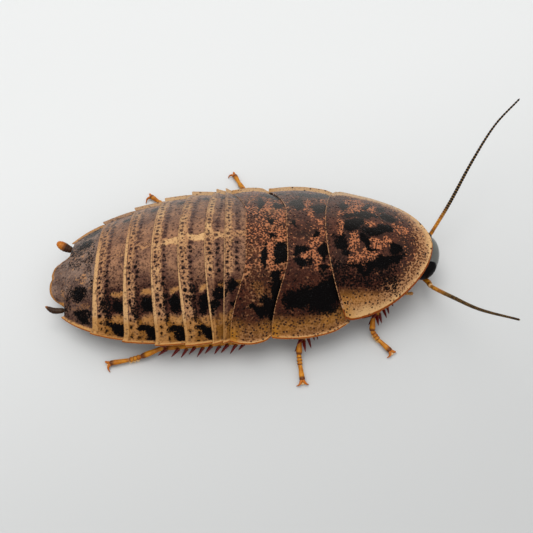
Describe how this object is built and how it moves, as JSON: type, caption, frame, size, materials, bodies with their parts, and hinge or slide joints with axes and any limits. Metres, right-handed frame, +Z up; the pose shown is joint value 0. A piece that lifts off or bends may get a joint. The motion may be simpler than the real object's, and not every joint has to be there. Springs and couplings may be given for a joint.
{
  "type": "dubia roach nymph",
  "caption": "Flat oval cockroach nymph with a hooded shield over its head, ringed body, spiny legs and raised feelers, standing as a still model.",
  "frame": {"origin": "middle of the base of the box round the whole animal, on the ground under its feet", "axes": "+X toward the head along the body, +Y to the animal's left, +Z up"},
  "size_m": [0.0482, 0.027, 0.0126],
  "materials": {
    "pronotum": "satin cuticle, tan border and dark mottled middle",
    "thorax": "satin cuticle, red-brown with black blocks and pale corners",
    "abdomen": "satin cuticle, banded brown and tan with dark dots",
    "head": "glossy black-brown",
    "eye": "glossy black, finely faceted",
    "mouthparts": "satin amber brown",
    "leg": "satin amber with dark spines",
    "antenna": "fine rings, amber at the root",
    "cercus": "satin dark amber"
  },
  "bodies": {
    "root": {"pronotum": "pronotum", "mesothorax": "thorax", "metathorax": "thorax", "abdomen_1": "abdomen", "abdomen_2": "abdomen", "abdomen_3": "abdomen", "abdomen_4": "abdomen", "abdomen_5": "abdomen", "abdomen_6": "abdomen", "abdomen_tip": "abdomen", "cercus_left": "cercus", "cercus_right": "cercus", "head": "head", "eye_left": "eye", "eye_right": "eye", "mouthparts": "mouthparts", "neck": "mouthparts", "palp_left": "leg", "palp_right": "leg", "antenna_left": "antenna", "antenna_right": "antenna", "coxa_fore_right": "leg", "femur_fore_right": "leg", "tibia_fore_right": "leg", "tarsus_fore_right": "leg", "coxa_fore_left": "leg", "femur_fore_left": "leg", "tibia_fore_left": "leg", "tarsus_fore_left": "leg", "coxa_mid_right": "leg", "femur_mid_right": "leg", "tibia_mid_right": "leg", "tarsus_mid_right": "leg", "coxa_mid_left": "leg", "femur_mid_left": "leg", "tibia_mid_left": "leg", "tarsus_mid_left": "leg", "coxa_hind_right": "leg", "femur_hind_right": "leg", "tibia_hind_right": "leg", "tarsus_hind_right": "leg", "coxa_hind_left": "leg", "femur_hind_left": "leg", "tibia_hind_left": "leg", "tarsus_hind_left": "leg"}
  },
  "joints": []
}
